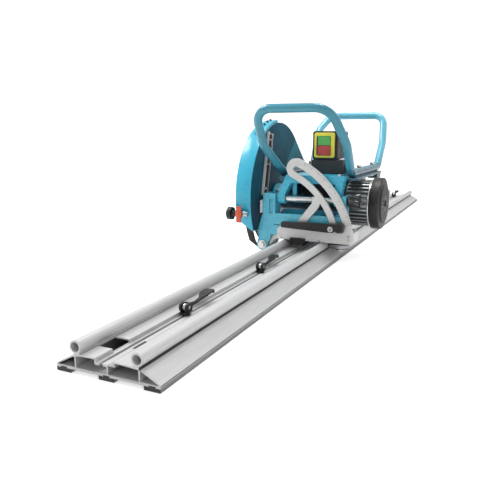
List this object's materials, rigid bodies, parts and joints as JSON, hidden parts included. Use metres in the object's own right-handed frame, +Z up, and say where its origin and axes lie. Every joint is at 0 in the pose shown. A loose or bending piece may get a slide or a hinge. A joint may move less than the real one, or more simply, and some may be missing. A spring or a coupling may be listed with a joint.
{
  "type": "panel saw",
  "caption": "Rail-guided panel saw: a carriage with a tilting, plunging motor head, guarded blade, bent-tube handles, on/off switch and water tap, running on a long aluminium track.",
  "frame": {"origin": "on the resting face of the rubber strips, at the rail centre line and the middle of its length", "axes": "+Y along the rail away from the operator, +X towards the motor, +Z up"},
  "size_m": [0.421, 2.504, 0.4505],
  "materials": {
    "black_plastic": "moulded",
    "blade_steel": "ground",
    "blue_paint": "semi-gloss light blue",
    "brass": "plated brass",
    "bronze": "machined",
    "cast_aluminium": "as cast",
    "copper": "enamelled copper",
    "dark_casting": "dark primer",
    "green_plastic": "moulded",
    "grey_plastic": "moulded",
    "ground_steel": "ground",
    "laminations": "stacked",
    "nylon": "turned nylon",
    "orange_plastic": "moulded",
    "rail_aluminium": "anodised",
    "red_plastic": "moulded",
    "roller_steel": "turned",
    "rubber": "matt",
    "silver_paint": "satin silver-grey",
    "yellow_plastic": "moulded",
    "zinc_steel": "bright zinc"
  },
  "bodies": {
    "rail": {"rail_extrusion": "rail_aluminium", "rubber_strips": "rubber", "stop_studs": "zinc_steel", "stop_seats": "black_plastic", "stop_pins": "zinc_steel"},
    "cam_near": {"cam_lever_near": "black_plastic"},
    "cam_middle": {"cam_lever_middle": "black_plastic"},
    "cam_far": {"cam_lever_far": "black_plastic"},
    "carriage": {"carriage_base": "silver_paint", "tilt_quadrant": "silver_paint", "quadrant_screws": "zinc_steel", "rail_bumper": "black_plastic", "tilt_pivot_bolt": "zinc_steel", "roller_axles": "zinc_steel", "guide_roller_bolt": "zinc_steel"},
    "front_rollers": {"track_rollers_front": "nylon"},
    "rear_rollers": {"track_rollers_rear": "nylon"},
    "side_roller": {"guide_roller": "roller_steel"},
    "tilt": {"tilt_frame": "blue_paint", "tilt_bushes": "bronze", "plunge_rod": "ground_steel", "clamp_plate": "ground_steel", "tilt_lock_bolt": "zinc_steel", "return_spring": "ground_steel"},
    "lock_lever": {"tilt_lock_lever": "black_plastic", "lever_screw": "zinc_steel"},
    "lock_knob": {"plunge_lock_knob": "black_plastic"},
    "head": {"head_bridge": "blue_paint", "spindle_housing": "dark_casting", "plunge_bushes": "bronze", "motor_housing": "cast_aluminium", "stator_core": "laminations", "stator_windings": "copper", "end_shield": "cast_aluminium", "bearings": "ground_steel", "fan_cover": "grey_plastic", "switch_box": "black_plastic", "switch_base": "grey_plastic", "switch_bezel": "yellow_plastic", "handle_frame": "blue_paint", "handle_bolts": "zinc_steel", "handle_brackets": "blue_paint", "guard_shell": "blue_paint", "guard_inner_plate": "blue_paint", "guard_top_bracket": "blue_paint", "bracket_screws": "zinc_steel", "guard_channel": "ground_steel", "splash_skirt": "rubber", "tap_body": "brass", "hose_coupling": "black_plastic", "water_hose": "black_plastic", "motor_cable": "black_plastic"},
    "start_button": {"button_start": "green_plastic"},
    "stop_button": {"button_stop": "red_plastic"},
    "tap_handle": {"tap_lever": "orange_plastic"},
    "spindle": {"spindle_rotor": "ground_steel", "cooling_fan": "grey_plastic", "saw_blade": "blade_steel", "blade_flanges": "blade_steel", "arbor_nut": "zinc_steel"}
  },
  "joints": [
    {"name": "carriage_slide", "type": "slide", "parent": "rail", "child": "carriage", "axis": [0, 1, 0], "range_m": [-0.14, 1.18]},
    {"name": "front_roller_spin", "type": "hinge", "parent": "carriage", "child": "front_rollers", "pos_m": [0, -0.311, 0.07205], "axis": [1, 0, 0], "continuous": true},
    {"name": "rear_roller_spin", "type": "hinge", "parent": "carriage", "child": "rear_rollers", "pos_m": [0, -0.122, 0.07205], "axis": [1, 0, 0], "continuous": true},
    {"name": "side_roller_spin", "type": "hinge", "parent": "carriage", "child": "side_roller", "pos_m": [0.102, -0.311, 0.046], "axis": [0, 0, 1], "continuous": true},
    {"name": "bevel_tilt", "type": "hinge", "parent": "carriage", "child": "tilt", "pos_m": [-0.134, -0.3, 0.035], "axis": [0, -1, 0], "range_deg": [0, 45]},
    {"name": "plunge", "type": "hinge", "parent": "tilt", "child": "head", "pos_m": [0, -0.32, 0.178], "axis": [-1, 0, 0], "range_deg": [0, 24]},
    {"name": "blade_spin", "type": "hinge", "parent": "head", "child": "spindle", "pos_m": [0, -0.19, 0.161], "axis": [1, 0, 0], "continuous": true},
    {"name": "tilt_lock_turn", "type": "hinge", "parent": "tilt", "child": "lock_lever", "pos_m": [0.1125, -0.36, 0.1076], "axis": [0, 1, 0], "range_deg": [0, 60]},
    {"name": "plunge_knob_turn", "type": "hinge", "parent": "tilt", "child": "lock_knob", "pos_m": [0.14, -0.32, 0.178], "axis": [1, 0, 0], "range_deg": [0, 180]},
    {"name": "start_press", "type": "slide", "parent": "head", "child": "start_button", "axis": [0, 1, 0], "range_m": [0, 0.004], "stiffness_N_per_m": 200},
    {"name": "stop_press", "type": "slide", "parent": "head", "child": "stop_button", "axis": [0, 1, 0], "range_m": [0, 0.005], "stiffness_N_per_m": 200},
    {"name": "tap_turn", "type": "hinge", "parent": "head", "child": "tap_handle", "pos_m": [-0.175, -0.425, 0.136], "axis": [0, 1, 0], "range_deg": [0, 90]},
    {"name": "cam_near_lift", "type": "hinge", "parent": "rail", "child": "cam_near", "pos_m": [-0.0095, -1, 0.044], "axis": [1, 0, 0], "range_deg": [0, 100]},
    {"name": "cam_middle_lift", "type": "hinge", "parent": "rail", "child": "cam_middle", "pos_m": [-0.0095, -0.64, 0.044], "axis": [1, 0, 0], "range_deg": [0, 100]},
    {"name": "cam_far_lift", "type": "hinge", "parent": "rail", "child": "cam_far", "pos_m": [-0.0095, 1.148, 0.044], "axis": [1, 0, 0], "range_deg": [0, 100]}
  ],
  "couplings": [
    {"joint": "front_roller_spin", "follows": "carriage_slide", "rad_per_m": -66.667},
    {"joint": "rear_roller_spin", "follows": "carriage_slide", "rad_per_m": -66.667},
    {"joint": "side_roller_spin", "follows": "carriage_slide", "rad_per_m": 31.299}
  ]
}
